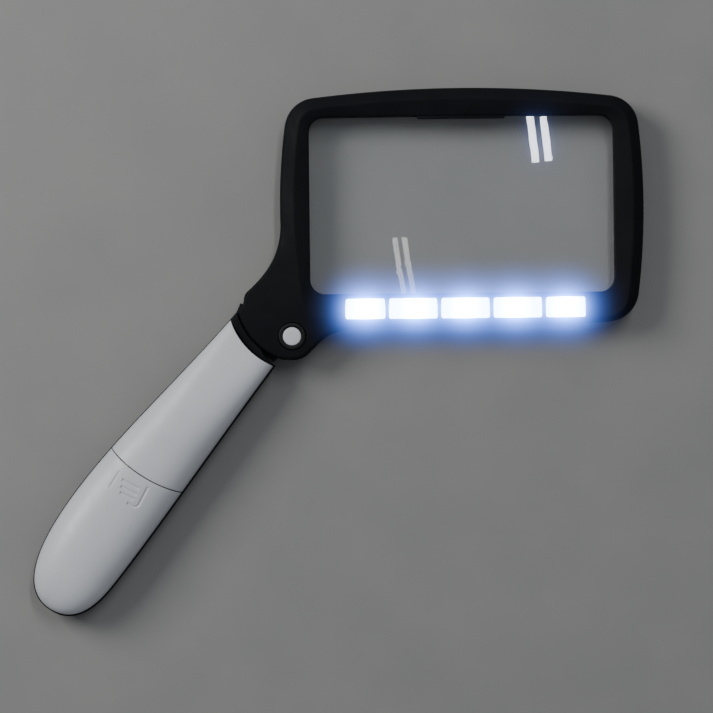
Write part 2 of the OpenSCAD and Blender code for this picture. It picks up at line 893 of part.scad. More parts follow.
handle_wire_curve = [[24, 0, driver_top + wire_r + 0.05], [10, 0, 7.3], [0, 0, 4.9], [0, 0, 10]];

module handle_wires() {
    color("firebrick") along_handle() rotate([0, 0, handle_wire_way])
        tube(handle_wire_curve, wire_r);
}

head_front_shell();
head_rear_shell();
lens();
lens_clip();
light_diffuser();
led_board();
leds();
led_resistors();
head_screws();
head_wires();
pivot_cap();
pivot_pin();
pivot_ring();
friction_washer();
wave_washer();
handle_lower_shell();
handle_upper_shell();
battery_cover();
battery_tray();
batteries();
contact_springs();
end_contact();
battery_terminals();
driver_board();
driver_coil();
driver_chip();
switch_body();
switch_slider();
handle_screws();
handle_wires();
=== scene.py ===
"""Folding lit hand magnifier: finished surfaces, materials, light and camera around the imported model."""
import json
import math

import bmesh
import bpy
import numpy as np
from mathutils import Matrix, Vector

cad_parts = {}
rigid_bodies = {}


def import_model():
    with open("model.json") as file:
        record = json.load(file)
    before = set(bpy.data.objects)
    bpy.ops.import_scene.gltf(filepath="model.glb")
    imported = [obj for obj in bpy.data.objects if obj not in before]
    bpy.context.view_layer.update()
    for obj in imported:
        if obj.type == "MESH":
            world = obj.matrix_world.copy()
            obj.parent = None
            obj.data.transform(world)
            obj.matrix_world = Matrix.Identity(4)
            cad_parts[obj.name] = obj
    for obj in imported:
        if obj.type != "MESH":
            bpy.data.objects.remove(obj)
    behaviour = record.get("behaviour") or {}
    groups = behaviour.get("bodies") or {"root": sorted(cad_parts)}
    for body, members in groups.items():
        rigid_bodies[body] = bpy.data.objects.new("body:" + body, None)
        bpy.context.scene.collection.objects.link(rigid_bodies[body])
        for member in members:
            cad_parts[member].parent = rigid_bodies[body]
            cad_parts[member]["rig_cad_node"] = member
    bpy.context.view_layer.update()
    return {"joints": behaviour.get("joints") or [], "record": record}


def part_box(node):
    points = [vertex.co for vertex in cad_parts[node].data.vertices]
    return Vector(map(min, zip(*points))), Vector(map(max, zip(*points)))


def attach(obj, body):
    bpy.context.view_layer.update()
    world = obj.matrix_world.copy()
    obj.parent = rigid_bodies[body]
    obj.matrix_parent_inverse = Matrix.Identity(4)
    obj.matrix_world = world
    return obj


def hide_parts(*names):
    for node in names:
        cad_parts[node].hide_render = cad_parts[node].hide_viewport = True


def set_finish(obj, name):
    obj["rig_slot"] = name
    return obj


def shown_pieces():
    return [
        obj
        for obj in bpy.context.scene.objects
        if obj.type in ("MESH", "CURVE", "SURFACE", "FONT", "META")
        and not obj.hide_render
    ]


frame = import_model()
joints = {j["name"]: j for j in frame["joints"]}
MM = 0.001

# ---- Places, read from the frame. Local sizes below are in millimetres ----
lens_low, lens_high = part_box("lens")
lens_mid = (lens_low + lens_high) / 2
split_z = lens_mid.z / MM
frame_t = 2 * split_z
pivot = Vector(joints["head_fold"]["pos_m"])
along = Vector(joints["cover_slide"]["axis"])
across = Vector((-along.y, along.x, 0))


def head_point(x, y, z):
    """Row-frame point from millimetres right of, above and up from the lens centre's foot."""
    return Vector((lens_mid.x + x * MM, lens_mid.y + y * MM, z * MM))


def handle_point(u, v, z):
    """Row-frame point from millimetres along and across the handle from the pivot."""
    return Vector((pivot.x, pivot.y, 0)) + (along * u + across * v) * MM + Vector((0, 0, z * MM))


def head_place(p):
    """Row-frame millimetres measured from the lens centre, as x and y."""
    return ((p[0] - lens_mid.x) / MM, (p[1] - lens_mid.y) / MM)


def from_handle(u, v):
    """Lens-centred x and y of a point given along and across the handle."""
    return head_place(handle_point(u, v, 0))


# ---- Camera: almost straight down on the object's middle ----
VIEW_WIDTH = 231.5
VIEW_DISTANCE = 900
VIEW_ELEVATION = math.radians(89)
VIEW_ROLL = math.radians(0.6)
SENSOR_WIDTH = 36
aim = head_point(-34.7, -49.1, 10)
camera = bpy.data.objects.new("camera", bpy.data.cameras.new("camera"))
bpy.context.scene.collection.objects.link(camera)
bpy.context.scene.camera = camera
camera.data.sensor_width = SENSOR_WIDTH
camera.data.lens = SENSOR_WIDTH * VIEW_DISTANCE / VIEW_WIDTH
camera.data.clip_start = 0.01
camera.data.clip_end = 20
look_back = Vector((0, -math.cos(VIEW_ELEVATION), math.sin(VIEW_ELEVATION)))
camera.location = aim + look_back * VIEW_DISTANCE * MM
turn = look_back.to_track_quat("Z", "Y").to_matrix()
camera.rotation_euler = (turn @ Matrix.Rotation(-VIEW_ROLL, 3, "Z")).to_euler()


# ---- Meshes ----
SMOOTH_ANGLE = 35
HEAD_SMOOTH_ANGLE = 28
ROUND_STEPS = 64
FINE_STEPS = 96


def mesh_object(name, points, faces, body, slot, replaces=(), smooth_angle=SMOOTH_ANGLE):
    """A mesh piece that rides on a body, shaded smooth up to an angle."""
    mesh = bpy.data.meshes.new(name)
    mesh.from_pydata([tuple(p) for p in points], [], faces)
    mesh.validate()
    tidy = bmesh.new()
    tidy.from_mesh(mesh)
    bmesh.ops.remove_doubles(tidy, verts=tidy.verts, dist=1e-6)
    bmesh.ops.recalc_face_normals(tidy, faces=tidy.faces)
    tidy.to_mesh(mesh)
    tidy.free()
    piece = bpy.data.objects.new(name, mesh)
    bpy.context.scene.collection.objects.link(piece)
    shade(piece, smooth_angle)
    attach(piece, body)
    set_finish(piece, slot)
    if replaces:
        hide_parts(*replaces)
    return piece


def shade(piece, angle):
    mesh = piece.data
    mesh.shade_smooth()
    mesh.set_sharp_from_angle(angle=math.radians(angle))


def apply_modifiers(piece):
    """Replaces the piece's mesh by the one its modifiers give."""
    bpy.context.view_layer.update()
    graph = bpy.context.evaluated_depsgraph_get()
    done = bpy.data.meshes.new_from_object(piece.evaluated_get(graph))
    piece.modifiers.clear()
    piece.data = done


def cut_away(piece, cutters, angle=SMOOTH_ANGLE):
    """Cuts the cutters' volumes out of the piece and removes them."""
    for cutter in cutters:
        cut = piece.modifiers.new("cut", "BOOLEAN")
        cut.operation = "DIFFERENCE"
        cut.solver = "EXACT"
        cut.object = cutter
    apply_modifiers(piece)
    for cutter in cutters:
        bpy.data.objects.remove(cutter)
    shade(piece, angle)


def loose_mesh(points, faces):
    """A plain helper mesh used only to cut with."""
    mesh = bpy.data.meshes.new("cutter")
    mesh.from_pydata([tuple(p) for p in points], [], faces)
    tidy = bmesh.new()
    tidy.from_mesh(mesh)
    bmesh.ops.recalc_face_normals(tidy, faces=tidy.faces)
    tidy.to_mesh(mesh)
    tidy.free()
    cutter = bpy.data.objects.new("cutter", mesh)
    bpy.context.scene.collection.objects.link(cutter)
    return cutter


def prism(outline, low, high, place):
    """Points and faces of an upright prism on an outline of local x and y."""
    n = len(outline)
    points = [place(x, y, low) for x, y in outline] + [place(x, y, high) for x, y in outline]
    faces = [tuple(range(n - 1, -1, -1)), tuple(range(n, 2 * n))]
    faces += [(i, (i + 1) % n, n + (i + 1) % n, n + i) for i in range(n)]
    return points, faces


def ring_faces(rows, n, closed=True):
    """Quads between rows of n points round a loop; closed joins the last row to the first."""
    faces = []
    last = rows if closed else rows - 1
    for r in range(last):
        a, b = r * n, ((r + 1) % rows) * n
        faces += [(a + i, a + (i + 1) % n, b + (i + 1) % n, b + i) for i in range(n)]
    return faces


def circle_outline(x, y, r, steps=ROUND_STEPS):
    return [(x + r * math.cos(2 * math.pi * i / steps), y + r * math.sin(2 * math.pi * i / steps))
            for i in range(steps)]


def lathe(name, profile, body, slot, replaces):
    """A piece turned about the pivot's axis; profile is a closed list of radius and height."""
    points = []
    for i in range(ROUND_STEPS):
        a = 2 * math.pi * i / ROUND_STEPS
        points += [Vector((pivot.x, pivot.y, 0)) + Vector((r * math.cos(a), r * math.sin(a), z)) * MM
                   for r, z in profile]
    n = len(profile)
    faces = []
    for i in range(ROUND_STEPS):
        a, b = i * n, ((i + 1) % ROUND_STEPS) * n
        faces += [(a + k, b + k, b + (k + 1) % n, a + (k + 1) % n) for k in range(n)]
    return mesh_object(name, points, faces, body, slot, replaces)


def bevel(piece, width, segments=3, angle=40):
    """Rounds the piece's sharp edges."""
    round_off = piece.modifiers.new("round", "BEVEL")
    round_off.width = width * MM
    round_off.segments = segments
    round_off.limit_method = "ANGLE"
    round_off.angle_limit = math.radians(angle)
    apply_modifiers(piece)
    shade(piece, SMOOTH_ANGLE)


# ---- Curves ----
def cubic(c, t):
    """Point of a cubic curve at t, from its four control points."""
    w = ((1 - t) ** 3, 3 * (1 - t) ** 2 * t, 3 * (1 - t) * t * t, t ** 3)
    return tuple(sum(w[k] * c[k][i] for k in range(4)) for i in range(2))


def cubic_run(c, steps):
    return [cubic(c, i / steps) for i in range(steps + 1)]


def arc_run(centre, r, start, end, steps):
    """Points on an arc between two angles in degrees, both ends included."""
    angles = [math.radians(start + (end - start) * i / steps) for i in range(steps + 1)]
    return [(centre[0] + r * math.cos(a), centre[1] + r * math.sin(a)) for a in angles]


def even_run(line, count):
    """count + 1 points spaced evenly along a polyline."""
    p = np.array(line)
    run = np.concatenate([[0], np.cumsum(np.linalg.norm(np.diff(p, axis=0), axis=1))])
    at = np.linspace(0, run[-1], count + 1)
    return list(zip(np.interp(at, run, p[:, 0]), np.interp(at, run, p[:, 1])))


def smooth(x):
    x = min(max(x, 0.0), 1.0)
    return x * x * (3 - 2 * x)


def inward_normals(loop):
    """Unit normals of a closed anticlockwise loop, pointing in."""
    p = np.array(loop)
    way = np.roll(p, -1, 0) - np.roll(p, 1, 0)
    way /= np.linalg.norm(way, axis=1)[:, None]
    return np.stack([-way[:, 1], way[:, 0]], 1)


def inset_loop(loop, normals, amount):
    """The loop moved inward; amount is one number or one for each point."""
    return np.array(loop) + normals * np.reshape(amount, (-1, 1))


# ---- Head: outlines that all share one order of points, anticlockwise ----
# Width, height and corner radius of the clear opening
OPENING = (99.0, 57.7, 5.0)
# Left, right, top and bottom: distance of each edge from the lens centre, radius of its bow,
# and how far inside it the ridge of the bezel runs
EDGES = (59.1, 59.2, 38.0, 40.2)
BOWS = (190.0, 227.0, 408.0, 700.0)
RIDGE_INSET = (4.6, 3.7, 3.9, 2.0)
CORNER_R = 10.3
EDGE_STEPS = 40
CORNER_STEPS = 16
RIDGE_CORNER_R = 6.6
LENS_FACE_R = 380.0
lens_t = (lens_high.z - lens_low.z) / MM
# The hub leaves the frame's outline at this height of the left edge and place of the bottom edge
HUB_FROM_Y = -6.0
HUB_TO_X = -31.0
HUB_STEPS = 84
HUB_R = 7.5
HUB_ARC_R = 21.8
NECK = (-12.5, -5.65)
hub_x, hub_y = head_place(pivot)
neck_x, neck_y = from_handle(*NECK)


def circles_meet(a, ra, b, rb):
    """Where two circles cross, on the left of the way from a to b."""
    d = Vector((b[0] - a[0], b[1] - a[1]))
    run = (d.length_squared + ra * ra - rb * rb) / (2 * d.length)
    off = math.sqrt(ra * ra - run * run)
    way = d.normalized()
    return (a[0] + run * way.x - off * way.y, a[1] + run * way.y + off * way.x)


def angle_from(centre, p):
    return math.degrees(math.atan2(p[1] - centre[1], p[0] - centre[0]))


def short_turn(start, end):
    return (end - start + 180) % 360 - 180


def bowed_sections(edges, bows, r):
    """Eight lines of a bowed rectangle: right, corner, top, corner, left, corner, bottom, corner."""
    left, right, top, bottom = edges
    centres = [(right - bows[1], 0), (0, top - bows[2]), (bows[0] - left, 0), (0, bows[3] - bottom)]
    radii = [bows[1], bows[2], bows[0], bows[3]]
    corners = [circles_meet(centres[i], radii[i] - r, centres[(i + 1) % 4], radii[(i + 1) % 4] - r)
               for i in range(4)]
    found = []
    for i in range(4):
        before, after = corners[i - 1], corners[i]
        start = angle_from(centres[i], before)
        side = short_turn(start, angle_from(centres[i], after))
        found.append(arc_run(centres[i], radii[i], start, start + side, EDGE_STEPS))
        start = angle_from(centres[i], after)
        corner = short_turn(start, angle_from(centres[(i + 1) % 4], after))
        found.append(arc_run(after, r, start, start + corner, CORNER_STEPS))
    return found


def rect_sections(w, h, r):
    """The same eight lines for a rectangle with round corners."""
    x, y = w / 2, h / 2
    mids = [(x - r, y - r, 0), (r - x, y - r, 90), (r - x, r - y, 180), (x - r, r - y, 270)]
    arcs = [arc_run((mx, my), r, a, a + 90, CORNER_STEPS) for mx, my, a in mids]
    found = []
    for i in range(4):
        found.append([arcs[i - 1][-1], arcs[i][0]])
        found.append(arcs[i])
    return found


def cut_line(line, axis, at):
    """Splits a line where its coordinate on an axis reaches a value."""
    for i in range(len(line) - 1):
        a, b = line[i], line[i + 1]
        if (a[axis] - at) * (b[axis] - at) <= 0 and a[axis] != b[axis]:
            t = (at - a[axis]) / (b[axis] - a[axis])
            p = (a[0] + t * (b[0] - a[0]), a[1] + t * (b[1] - a[1]))
            return line[:i + 1] + [p], [p] + line[i + 1:]
    raise ValueError("the line never reaches that value")


def ring_points(sections):
    """Evenly spread points in the shared order: bottom edge, round to the left, then the hub."""
    right, tr, top, tl, left, bl, bottom, br = sections
    left_high, left_low = cut_line(left, 1, HUB_FROM_Y)
    bottom_near, bottom_far = cut_line(bottom, 0, HUB_TO_X)
    loop = []
    runs = ((bottom_far, 26), (br, 12), (right, 20), (tr, 12), (top, 32), (tl, 12), (left_high, 16))
    for line, steps in runs:
        loop += even_run(line, steps)[:-1]
    return loop + even_run(left_low + bl[1:] + bottom_near[1:], HUB_STEPS)[:-1]


def hub_line(start, end):
    """Outline of the hub between two points of the frame's own outline."""
    flare = cubic_run([start, (-59.2, -17), (-64, -22.5), (-70.5, -28.3)], 20)
    tip = [(-70.95, -29.4), (-71.1, -31.4), (-72.1, -33.2)]
    neck = arc_run((neck_x, neck_y), HUB_ARC_R, 192.8, 250.7, 24)
    disc = arc_run((hub_x, hub_y), HUB_R, -94, -38, 12)
    fillet = cubic_run([disc[-1], (-46.4, -44.6), (-45.6, -40.2), end], 20)
    return flare + tip + neck + disc + fillet[1:]


frame_ring = ring_points(bowed_sections(EDGES, BOWS, CORNER_R))
plain_count = len(frame_ring) - HUB_STEPS
hub_run = even_run(hub_line(frame_ring[plain_count], frame_ring[0]), HUB_STEPS)[:-1]
outer_ring = frame_ring[:plain_count] + hub_run
ridge_ring = ring_points(bowed_sections([e - i for e, i in zip(EDGES, RIDGE_INSET)],
                                        [b - i for b, i in zip(BOWS, RIDGE_INSET)], RIDGE_CORNER_R))
outer_in = inward_normals(outer_ring)
ridge_in = inward_normals(ridge_ring)
# 0 on the frame, rising to 1 over a fifth of the hub's outline at each end
hub_share = np.array([0.0] * plain_count
                     + [smooth(5 * i / HUB_STEPS) * smooth(5 * (1 - i / HUB_STEPS))
                        for i in range(HUB_STEPS)])


def opening_ring(outset):
    """Ring round the clear opening, moved outward."""
    w, h, r = OPENING
    return ring_points(rect_sections(w + 2 * outset, h + 2 * outset, r + outset))


def lens_height(x, y, side):
    """Height of the lens's upper (1) or lower (-1) face over a point."""
    sag = LENS_FACE_R - math.sqrt(LENS_FACE_R ** 2 - x * x - y * y)
    return split_z + side * (lens_t / 2 - sag)


def level(ring, z):
    """A ring as points in space, at one height or a height for each point."""
    heights = np.broadcast_to(z, len(ring))
    return [(p[0], p[1], h) for p, h in zip(ring, heights)]


def mixed(frame_value, hub_value):
    """A value for each point of the outer ring: the frame's, blending to the hub's."""
    return frame_value + (hub_value - frame_value) * hub_share


LENS_FIT = 0.12
LENS_SEAT = 2.15
PART_GAP = 0.04


def over_lens(outset, side):
    """Ring round the opening that clears the lens's upper (1) or lower (-1) face."""
    return [(x, y, lens_height(x, y, side) + side * LENS_FIT) for x, y in opening_ring(outset)]


def outer_row(inset, z):
    """The head's outline moved inward, at a height."""
    return level(inset_loop(outer_ring, outer_in, inset), z)


def ridge_row(inset, z):
    """The ridge of the bezel moved inward, at a height."""
    return level(inset_loop(ridge_ring, ridge_in, inset), z)


def corner_rows(start_inset, start_z, end_inset, end_z):
    """Rows of a rounded edge; each argument is one value or a value for each point."""
    steps = 5
    rows = []
    for k in range(steps + 1):
        a = math.pi / 2 * k / steps
        inset = start_inset + (end_inset - start_inset) * (1 - math.cos(a))
        rows.append(outer_row(inset, start_z + (end_z - start_z) * math.sin(a)))
    return rows


def shell_from_rows(name, rows, replaces):
    points = [head_point(*p) for row in rows for p in row]
    faces = ring_faces(len(rows), len(rows[0]))
    return mesh_object(name, points, faces, "head", "black_plastic", replaces, HEAD_SMOOTH_ANGLE)


# Front shell: groove at the parting line, side, rounded edge, ridge, bezel, lip and lens seat
front_rows = [
    outer_row(0.3, split_z + PART_GAP),
    outer_row(0.3, split_z + 0.2),
    outer_row(0.0, split_z + 0.35),
]
front_rows += corner_rows(0.0, mixed(8.9, 11.8), mixed(1.1, 0.95), mixed(11.75, 12.8))
front_rows += [
    ridge_row(-0.5, frame_t - 0.12),
    ridge_row(-0.2, frame_t - 0.03),
    ridge_row(0.0, frame_t - 0.005),
    ridge_row(0.2, frame_t - 0.03),
    ridge_row(0.5, frame_t - 0.1),
    level(opening_ring(0.45), frame_t - 1.2),
    level(opening_ring(0.2), frame_t - 1.29),
    level(opening_ring(0.04), frame_t - 1.45),
    level(opening_ring(0.0), frame_t - 1.7),
    over_lens(0.0, 1),
    over_lens(LENS_SEAT, 1),
    level(opening_ring(LENS_SEAT), split_z + PART_GAP),
]
front_shell = shell_from_rows("head_front", front_rows, ["head_front_shell"])

# Rear shell: the same going down, with a flat back and a slope into the opening
rear_rows = [
    outer_row(0.3, split_z - PART_GAP),
    outer_row(0.3, split_z - 0.2),
    outer_row(0.0, split_z - 0.35),
]
rear_rows += corner_rows(mixed(0.1, 0.0), mixed(2.4, 1.3), mixed(1.5, 0.9), 0.0)
rear_rows += [
    level(opening_ring(4.3), 0.0),
    level(opening_ring(3.9), 0.06),
    level(opening_ring(0.4), 1.12),
    level(opening_ring(0.1), 1.3),
    level(opening_ring(0.0), 1.55),
    over_lens(0.0, -1),
    over_lens(LENS_SEAT, -1),
    level(opening_ring(LENS_SEAT), split_z - PART_GAP),
]
rear_shell = shell_from_rows("head_rear", rear_rows, ["head_rear_shell"])


# ---- Openings in the head shells ----
# Top of the light bay, and its left, right, bottom and top
LIGHT_Z = 11.2
LIGHT_BAY = (-40.4, 41.6, -37.2, -32.25)
WINDOW_PITCH = 16.95
WINDOW_W = 15.5
END_WINDOW_W = 12.65
WINDOW_ROW = -33.7
WINDOW_H = 6.5
WINDOW_SHIFT = 0.8
WINDOW_CORNER_R = 0.7
# Height of the bezel at its foot, how far outside the opening that is, and its rise towards the ridge
BEZEL_FOOT_Z = 12.0
BEZEL_FOOT = 0.45
BEZEL_RISE = 0.131
PIN_HOLE_R = 3.05
SCREW_SINK_R = 1.75
SCREW_STEPS = 32
# Tongue slot between the hub plates
SLOT_LOW = 3.1
SLOT_HIGH = 10.1
SLOT_R = 7.7
HEAD_SCREWS = [(-51, 30.3), (51, 30.3), (50.9, -31.2), (-62.5, -25.5)]


def in_head(outline, low, high):
    """A cutter on an outline in the head's places."""
    return loose_mesh(*prism(outline, low, high, head_point))


def in_handle(outline, low, high):
    """A cutter on an outline along and across the handle."""
    return loose_mesh(*prism(outline, low, high, handle_point))


def box_outline(x0, x1, y0, y1, r=0.0):
    """Outline of a rectangle, with round corners where r is above 0."""
    if r == 0:
        return [(x0, y0), (x1, y0), (x1, y1), (x0, y1)]
    mids = [(x1 - r, y0 + r, 270), (x1 - r, y1 - r, 0), (x0 + r, y1 - r, 90), (x0 + r, y0 + r, 180)]
    return [p for mx, my, a in mids for p in arc_run((mx, my), r, a, a + 90, 6)]


def window_span(i):
    """Left and right end of light window i, counted from the left."""
    if i == 0:
        right = WINDOW_SHIFT - 1.5 * WINDOW_PITCH - (WINDOW_PITCH - WINDOW_W) / 2
        return right - END_WINDOW_W, right
    left = WINDOW_SHIFT + (i - 2) * WINDOW_PITCH - WINDOW_W / 2
    return left, left + (END_WINDOW_W if i == 4 else WINDOW_W)


def window_mesh(i, gap, low, lift):
    """Points and faces of a window block whose top follows the bezel's slope, raised by lift."""
    left, right = window_span(i)
    outline = box_outline(left - gap, right + gap, WINDOW_ROW - WINDOW_H / 2 - gap,
                          WINDOW_ROW + WINDOW_H / 2 + gap, WINDOW_CORNER_R)
    n = len(outline)
    points, faces = prism(outline, low, LIGHT_Z, head_point)
    bezel_foot_y = -OPENING[1] / 2 - BEZEL_FOOT
    points[n:] = [head_point(x, y, BEZEL_FOOT_Z + BEZEL_RISE * (bezel_foot_y - y) + lift)
                  for x, y in outline]
    return points, faces


def slot_cutters():
    """The space the tongue fills and sweeps through, with the head open."""
    wedge = [(-6.58, -3.5), (4.99, -25.32), (45, -28), (45, 34), (-17.55, 24.41), (-1.65, -1.03)]
    return [in_handle(outline, SLOT_LOW, SLOT_HIGH) for outline in (wedge, circle_outline(0, 0, SLOT_R))]


front_cuts = slot_cutters()
front_cuts += [in_head(circle_outline(hub_x, hub_y, PIN_HOLE_R), 9, 14),
               in_head(circle_outline(hub_x, hub_y, 4.6), 11.25, 14),
               in_head(box_outline(-14.31, 14.31, 27.6, 31.41), 10.5, 11.56),
               in_head(box_outline(*LIGHT_BAY), split_z - 1, LIGHT_Z)]
front_cuts += [loose_mesh(*window_mesh(i, 0.08, LIGHT_Z - 0.5, 1.0)) for i in range(5)]
cut_away(front_shell, front_cuts, HEAD_SMOOTH_ANGLE)

rear_cuts = slot_cutters()
rear_cuts += [in_head(circle_outline(hub_x, hub_y, PIN_HOLE_R), -1, 4),
              in_head(circle_outline(hub_x, hub_y, 4.8), -1, 1.1),
              in_head(box_outline(*LIGHT_BAY), 1.8, split_z + 1)]
rear_cuts += [in_head(circle_outline(x, y, SCREW_SINK_R, SCREW_STEPS), -1, 2.25) for x, y in HEAD_SCREWS]
cut_away(rear_shell, rear_cuts, HEAD_SMOOTH_ANGLE)


# ---- Pieces of the head ----
def joined(pieces):
    """Points and faces of several meshes as one."""
    points, faces = [], []
    for more, cells in pieces:
        base = len(points)
        points += more
        faces += [tuple(base + k for k in cell) for cell in cells]
    return points, faces


windows = [window_mesh(i, -0.02, LIGHT_Z - 0.4, -0.06) for i in range(5)]
strip = prism(box_outline(-40.2, 41.4, -37.1, -32.4, 0.5), 9.9, LIGHT_Z - 0.1, head_point)
light_strip = mesh_object("light_strip", *joined(windows + [strip]), "head", "light_plastic",
                          ["light_diffuser"])
bevel(light_strip, 0.22)

clip_plate = prism(box_outline(-14.25, 14.25, 27.75, 31.35, 0.6), 10.6, 11.5, head_point)
clip = mesh_object("lens_clip_tab", *clip_plate, "head", "black_plastic", ["lens_clip"])
bevel(clip, 0.25)


LENS_HIDDEN = 2
LENS_RINGS = 30
LENS_RIM_DROP = 0.2


def lens_mesh():
    """Two curved faces over a rounded rectangle, joined by a slightly rounded rim."""
    width, height, r = OPENING
    rim = np.array(ring_points(rect_sections(width + 2 * LENS_HIDDEN, height + 2 * LENS_HIDDEN,
                                             r + LENS_HIDDEN)))
    n = len(rim)
    scales = [k / LENS_RINGS for k in range(1, LENS_RINGS)] + [1 - 0.15 / height]
    points = []
    for side, order in ((1, scales), (-1, scales[::-1])):
        if side == -1:
            points += [(x, y, lens_height(x, y, 1) - LENS_RIM_DROP) for x, y in rim]
            points += [(x, y, lens_height(x, y, -1) + LENS_RIM_DROP) for x, y in rim]
        for scale in order:
            points += [(x, y, lens_height(x, y, side)) for x, y in rim * scale]
    rows = 2 * LENS_RINGS + 2
    faces = ring_faces(rows, n, closed=False)
    points += [(0, 0, lens_height(0, 0, 1)), (0, 0, lens_height(0, 0, -1))]
    top, low = len(points) - 2, len(points) - 1
    last = (rows - 1) * n
    faces += [(top, (i + 1) % n, i) for i in range(n)]
    faces += [(low, last + i, last + (i + 1) % n) for i in range(n)]
    return [head_point(*p) for p in points], faces


mesh_object("lens_acrylic_block", *lens_mesh(), "head", "lens_acrylic", ["lens"], 30)

cap_profile = [(0, 12.05), (2.9, 12.05), (2.95, 12.1), (2.95, 12.86), (2.9, 13.0), (2.78, 13.1),
               (2.5, 13.16), (1.4, 13.22), (0, 13.24)]
lathe("pivot_cap_round", cap_profile, "handle", "pale_plastic", ["pivot_cap"])
nut_profile = [(3.03, 11.3), (4.38, 11.3), (4.4, 11.35), (4.4, 12.7), (4.33, 12.83), (4.2, 12.9),
               (3.25, 12.9), (3.1, 12.82), (3.03, 12.7)]
lathe("pivot_nut", nut_profile, "handle", "nut_metal", ["pivot_ring"])


# ---- Handle: edges in plan, and height along it ----
END_U = 118.6
END_V = -6.2
NECK_R = 24.8
SEAM = (18.1, -14.4)
SEAM_R = 47.5
SEAM_GAP = 0.3
SPLIT = 8.5
SPLIT_GAP = 0.06
WALL = 1.6
# Rounds of settling a point between two curves that depend on where it lies
SETTLE = 12
ACROSS = 72
left_edge = cubic_run([(2, -19), (30, -19.6), (52, -22.8), (74, -22.8)], 60)
left_edge += cubic_run([(74, -22.8), (100, -22.8), (END_U, -18.5), (END_U, END_V)], 120)[1:]
right_edge = cubic_run([(END_U, END_V), (END_U, 3), (112, 6.9), (100, 6.75)], 120)
right_edge += cubic_run([(100, 6.75), (78, 6.5), (40, 3), (2, 1.4)], 60)[1:]
right_edge = right_edge[::-1]
left_u, left_v = np.array(left_edge).T
right_u, right_v = np.array(right_edge).T


def edges_at(u):
    """Sideways places of the handle's right and left edge at u."""
    u = min(max(u, 2.0), END_U)
    return float(np.interp(u, right_u, right_v)), float(np.interp(u, left_u, left_v))


def roundness(u, start):
    """Falls from 1 to 0 along an even curve towards the handle's end."""
    x = min(max((u - start) / (END_U - start), 0.0), 1.0)
    return (1 - x ** 2.4) ** (1 / 2.4)


# The pale shells stand a little inside the dark one, which shows as a line beside them
STEP_RIGHT = 0.55
STEP_LEFT = 0.3
STEP_END = 0.4
ROUND_FROM = 92


def stretched(u):
    """Place on the dark shell's length that matches u on the pale one, which ends sooner."""
    x = min(max((u - ROUND_FROM) / (END_U - STEP_END - ROUND_FROM), 0.0), 1.0)
    return u + STEP_END * x ** 2


def top_height(u):
    """Height of the crown, from 13.3 at the neck to 18.45 over the cells and down at the end."""
    x = min(max((u - 2) / 48, 0.0), 1.0)
    crown = 13.3 + 5.15 * (1 - (1 - x) ** 1.35)
    return SPLIT + (crown - SPLIT) * roundness(stretched(u), ROUND_FROM)


def middle_and_half(u, upper):
    """Sideways middle of a shell at u and half its width."""
    right, left = edges_at(stretched(u) if upper else u)
    if upper:
        right, left = right - STEP_RIGHT, left + STEP_LEFT
    return (right + left) / 2, (right - left) / 2


def crown_power(u):
    """Power of the cross-section's curve: boxy at the neck, rounder along the grip."""
    return 3.6 - 1.2 * smooth((u - 8) / 42)


def crown_height(u, v):
    """Height of the upper surface over the place u, v."""
    mid, half = middle_and_half(u, True)
    power = crown_power(u)
    return SPLIT + (top_height(u) - SPLIT) * (1 - min(abs(v - mid) / half, 1.0) ** power) ** (1 / power)


def handle_shape(u, share, upper, inset):
    """Point of the handle's surface at u; share runs from -1 at the right edge to 1 at the left."""
    mid, half = middle_and_half(u, upper)
    half = max(half - inset, 0.0)
    angle = share * math.pi / 2
    if upper:
        power = crown_power(u)
        rise = max(top_height(u) - inset - SPLIT, 0.0)
    else:
        power = 4.2
        rise = (9.0 - inset) * roundness(u, 104)
    c = math.copysign(abs(math.sin(angle)) ** (2 / power), angle)
    s = abs(math.cos(angle)) ** (2 / power)
    v = mid - half * c
    z = SPLIT + rise * s if upper else max(SPLIT - rise * s, inset)
    return v, z


def arc_u(centre, r, v):
    """Place along the handle where an arc of radius r passes the sideways place v."""
    return centre[0] + math.sqrt(max(r * r - (v - centre[1]) ** 2, 0.0))


def handle_grid(start, end, steps, upper, inset, to_end=False):
    """Rows of surface points between two curves in plan, each a function from v to u."""
    rows = []
    for k in range(steps + 1):
        t = k / steps
        t = math.sin(math.pi / 2 * t) if to_end else t
        row = []
        for i in range(ACROSS + 1):
            share = -1 + 2 * i / ACROSS
            u = 60.0
            for _ in range(SETTLE):
                v, z = handle_shape(u, share, upper, inset)
                u = (1 - t) * start(v) + t * end(v)
            v, z = handle_shape(u, share, upper, inset)
            row.append((u, v, z))
        rows.append(row)
    return rows


def patch_faces(rows, n, base=0, flip=False):
    """Quads of a grid whose points start at base."""
    faces = []
    for r in range(rows - 1):
        for i in range(n - 1):
            a = base + r * n + i
            quad = (a, a + 1, a + n + 1, a + n)
            faces.append(quad[::-1] if flip else quad)
    return faces


def shell_mesh(outer, inner):
    """A wall between two grids of the same size, closed along its borders."""
    rows, n = len(outer), len(outer[0])
    points = [handle_point(*p) for grid in (outer, inner) for row in grid for p in row]
    base = rows * n
    faces = patch_faces(rows, n) + patch_faces(rows, n, base, True)
    rim = [(0, i) for i in range(n)] + [(r, n - 1) for r in range(1, rows)]
    rim += [(rows - 1, i) for i in range(n - 2, -1, -1)] + [(r, 0) for r in range(rows - 2, 0, -1)]
    for a, b in zip(rim, rim[1:] + rim[:1]):
        p, q = a[0] * n + a[1], b[0] * n + b[1]
        faces.append((p, q, base + q, base + p))
    return points, faces


def neck_line(r):
    return lambda v: arc_u(NECK, r, v)


def seam_line(gap):
    return lambda v: arc_u(SEAM, SEAM_R + gap, v)


def end_line(inset):
    return lambda v: END_U - inset


